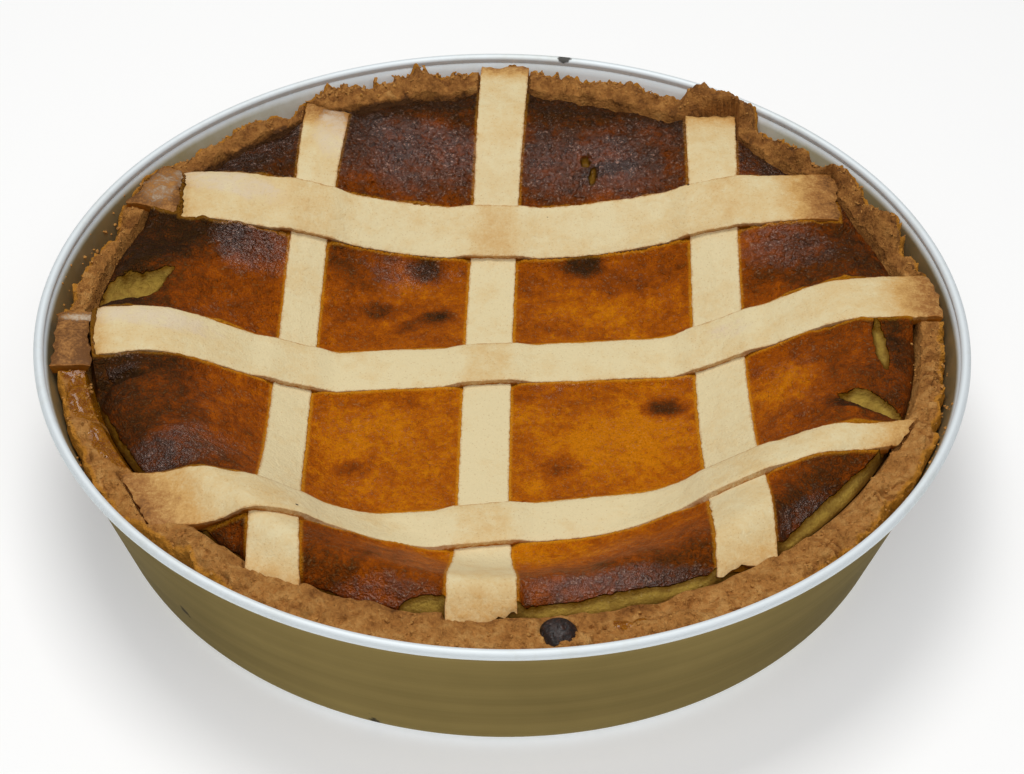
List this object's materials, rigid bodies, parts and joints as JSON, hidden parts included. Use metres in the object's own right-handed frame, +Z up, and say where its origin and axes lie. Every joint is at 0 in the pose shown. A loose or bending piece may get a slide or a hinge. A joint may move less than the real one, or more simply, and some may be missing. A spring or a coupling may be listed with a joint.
{
  "type": "pastiera",
  "caption": "Whole round ricotta and wheat pie with a sunken browned top and crossing pastry bands, in its own tapered metal tin with a rolled rim.",
  "frame": {"origin": "centre of the flat underside of the tin", "axes": "+Z up out of the pie, +X to the right and +Y away as the picture is taken, so the bands cross along X and Y"},
  "size_m": [0.28, 0.28, 0.0619],
  "materials": {
    "tin": "satin, faint turned brush lines, tarnished olive outside and pale inside",
    "crust": "crumbly short pastry, tan to brown, matt",
    "filling": "baked ricotta skin, orange to near black, wrinkled and glossy",
    "band": "pale cream short pastry with a fine grain, lightly toasted, matt",
    "toasted_band": "toasted short pastry, tan, matt",
    "burnt_fruit": "burnt candied fruit, near black with a soft sheen"
  },
  "bodies": {
    "root": {"tin": "tin", "crust": "crust", "filling": "filling", "band_left": "band", "band_centre": "band", "band_right": "band", "band_back": "band", "band_middle": "band", "band_front": "band", "band_back_end": "toasted_band", "band_middle_end": "toasted_band", "burnt_fruit": "burnt_fruit"}
  },
  "joints": []
}
